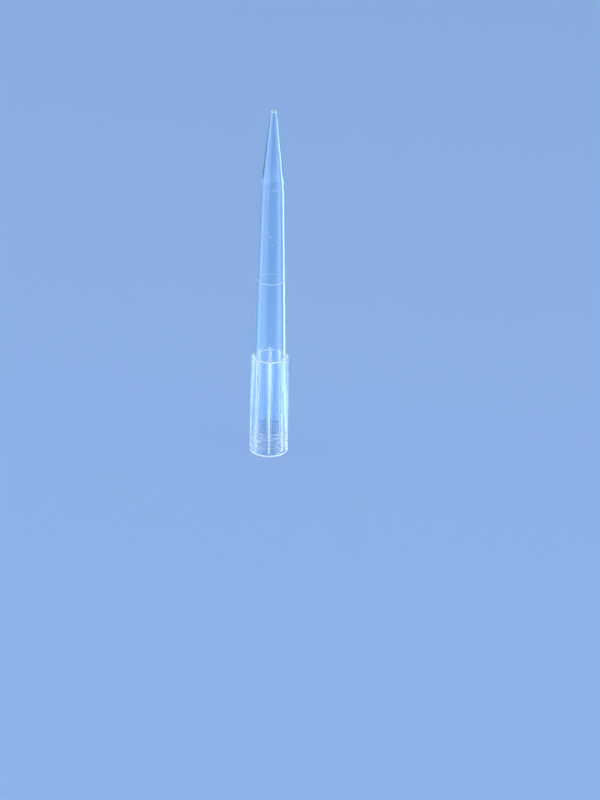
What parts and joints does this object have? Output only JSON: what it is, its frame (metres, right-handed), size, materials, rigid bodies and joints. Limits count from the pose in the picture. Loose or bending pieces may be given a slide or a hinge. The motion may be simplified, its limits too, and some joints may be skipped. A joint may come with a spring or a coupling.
{
  "type": "pipette tip",
  "caption": "Disposable pipette tip in clear polypropylene: ribbed collar with seal rings inside its mouth, a tapered body with graduation rings and a fine cone ending in a small orifice.",
  "frame": {"origin": "centre of the mouth, in the plane of the rim that the tip stands on", "axes": "+Z along the tip's axis, from the mouth towards the orifice"},
  "size_m": [0.0088, 0.0088, 0.083],
  "materials": {
    "clear_polypropylene": "glossy, see-through"
  },
  "bodies": {
    "root": {"pipette_tip": "clear_polypropylene"}
  },
  "joints": []
}
